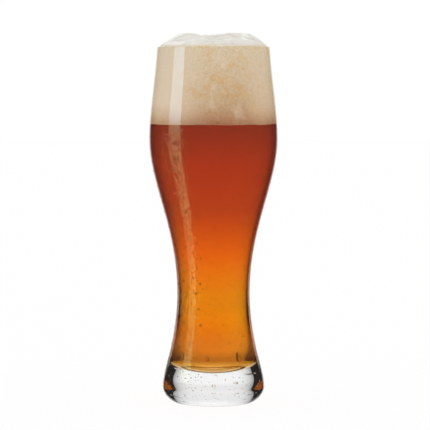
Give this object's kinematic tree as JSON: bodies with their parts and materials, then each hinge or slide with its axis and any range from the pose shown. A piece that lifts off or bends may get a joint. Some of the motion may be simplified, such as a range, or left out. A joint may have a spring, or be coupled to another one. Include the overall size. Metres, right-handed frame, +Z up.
{
  "type": "weizen glass",
  "caption": "Tall curved wheat beer glass with a narrow waist and a thick solid foot, full of amber beer under a rounded foam head, with condensed water beads on its outside.",
  "frame": {"origin": "on the axis of the glass, in the plane of the flat ring under its foot", "axes": "+Z up along the axis of the glass, -Y towards the side that the picture shows"},
  "size_m": [0.085, 0.085, 0.245],
  "materials": {
    "clear_glass": "gloss",
    "amber_beer": "gloss",
    "beer_foam": "matte",
    "water": "gloss"
  },
  "bodies": {
    "root": {"glass": "clear_glass", "beer": "amber_beer", "foam_head": "beer_foam", "condensation_beads": "water", "round_drops": "water", "running_drops": "water"}
  },
  "joints": []
}
